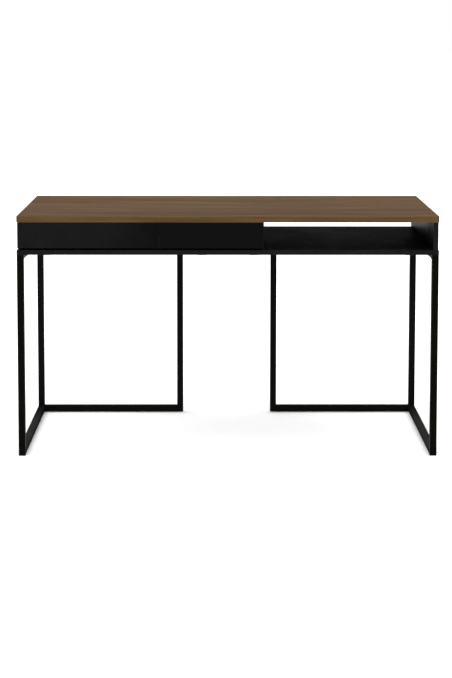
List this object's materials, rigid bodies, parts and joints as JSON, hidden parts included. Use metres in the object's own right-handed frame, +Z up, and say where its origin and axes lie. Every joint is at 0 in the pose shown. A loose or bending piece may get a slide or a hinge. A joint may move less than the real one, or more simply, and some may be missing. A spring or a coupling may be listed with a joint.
{
  "type": "writing desk with drawers",
  "caption": "Long writing desk: walnut-look board top on a shallow black case with sliding drawers and an open bay, on a square steel tube frame with floor rails.",
  "frame": {"origin": "on the floor, under the middle of the desk's length and depth", "axes": "+X along the desk towards the open bay, +Y from the drawer fronts to the rear, +Z up"},
  "size_m": [1.3, 0.6, 0.75],
  "materials": {
    "walnut_laminate": "satin walnut-look laminate on particle board, grain along the length",
    "walnut_edge_band": "printed walnut-look edge strip",
    "black_laminate": "matt black laminate on particle board",
    "hardboard": "black painted hardboard",
    "frame_paint": "fine-textured black powder coat",
    "bracket_paint": "satin dark grey paint",
    "cap_plastic": "black moulded plastic",
    "runner_steel": "bright zinc-plated strip",
    "zinc_plate": "zinc-plated"
  },
  "bodies": {
    "desk": {"tabletop": "walnut_laminate", "tabletop_edge_bands": "walnut_edge_band", "left_side_panel": "black_laminate", "right_side_panel": "black_laminate", "drawer_divider": "black_laminate", "bay_divider": "black_laminate", "case_floor": "black_laminate", "drawer_back_panel": "hardboard", "cam_locks": "zinc_plate", "cam_bolts": "zinc_plate", "divider_screws": "zinc_plate", "side_panel_screws": "zinc_plate", "back_panel_screws": "zinc_plate", "ring_front_rail": "frame_paint", "ring_rear_rail": "frame_paint", "ring_left_rail": "frame_paint", "ring_right_rail": "frame_paint", "floor_straps": "frame_paint", "strap_screws": "zinc_plate", "left_front_leg": "frame_paint", "left_rear_leg": "frame_paint", "left_side_floor_rail": "frame_paint", "left_rear_floor_rail": "frame_paint", "left_rear_upright": "frame_paint", "right_front_leg": "frame_paint", "right_rear_leg": "frame_paint", "right_side_floor_rail": "frame_paint", "right_rear_floor_rail": "frame_paint", "right_rear_upright": "frame_paint", "foot_caps": "cap_plastic", "corner_brackets": "bracket_paint", "bracket_bolts": "zinc_plate", "bracket_nuts": "zinc_plate", "left_runner_outers": "runner_steel", "right_runner_outers": "runner_steel", "runner_outer_screws": "zinc_plate"},
    "left_drawer": {"left_drawer_front": "black_laminate", "left_drawer_left_side": "black_laminate", "left_drawer_right_side": "black_laminate", "left_drawer_back": "black_laminate", "left_drawer_bottom": "hardboard", "left_drawer_cams": "zinc_plate", "left_drawer_cam_bolts": "zinc_plate", "left_drawer_screws": "zinc_plate", "left_runner_inners": "runner_steel"},
    "right_drawer": {"right_drawer_front": "black_laminate", "right_drawer_left_side": "black_laminate", "right_drawer_right_side": "black_laminate", "right_drawer_back": "black_laminate", "right_drawer_bottom": "hardboard", "right_drawer_cams": "zinc_plate", "right_drawer_cam_bolts": "zinc_plate", "right_drawer_screws": "zinc_plate", "right_runner_inners": "runner_steel"},
    "left_runner_middles": {"left_runner_middles": "runner_steel"},
    "right_runner_middles": {"right_runner_middles": "runner_steel"}
  },
  "joints": [
    {"name": "left_drawer_slide", "type": "slide", "parent": "desk", "child": "left_drawer", "axis": [0, -1, 0], "range_m": [0, 0.4]},
    {"name": "right_drawer_slide", "type": "slide", "parent": "desk", "child": "right_drawer", "axis": [0, -1, 0], "range_m": [0, 0.4]},
    {"name": "left_middle_slide", "type": "slide", "parent": "desk", "child": "left_runner_middles", "axis": [0, -1, 0], "range_m": [0, 0.2]},
    {"name": "right_middle_slide", "type": "slide", "parent": "desk", "child": "right_runner_middles", "axis": [0, -1, 0], "range_m": [0, 0.2]}
  ],
  "couplings": [
    {"joint": "left_middle_slide", "follows": "left_drawer_slide", "ratio": 0.5},
    {"joint": "right_middle_slide", "follows": "right_drawer_slide", "ratio": 0.5}
  ]
}
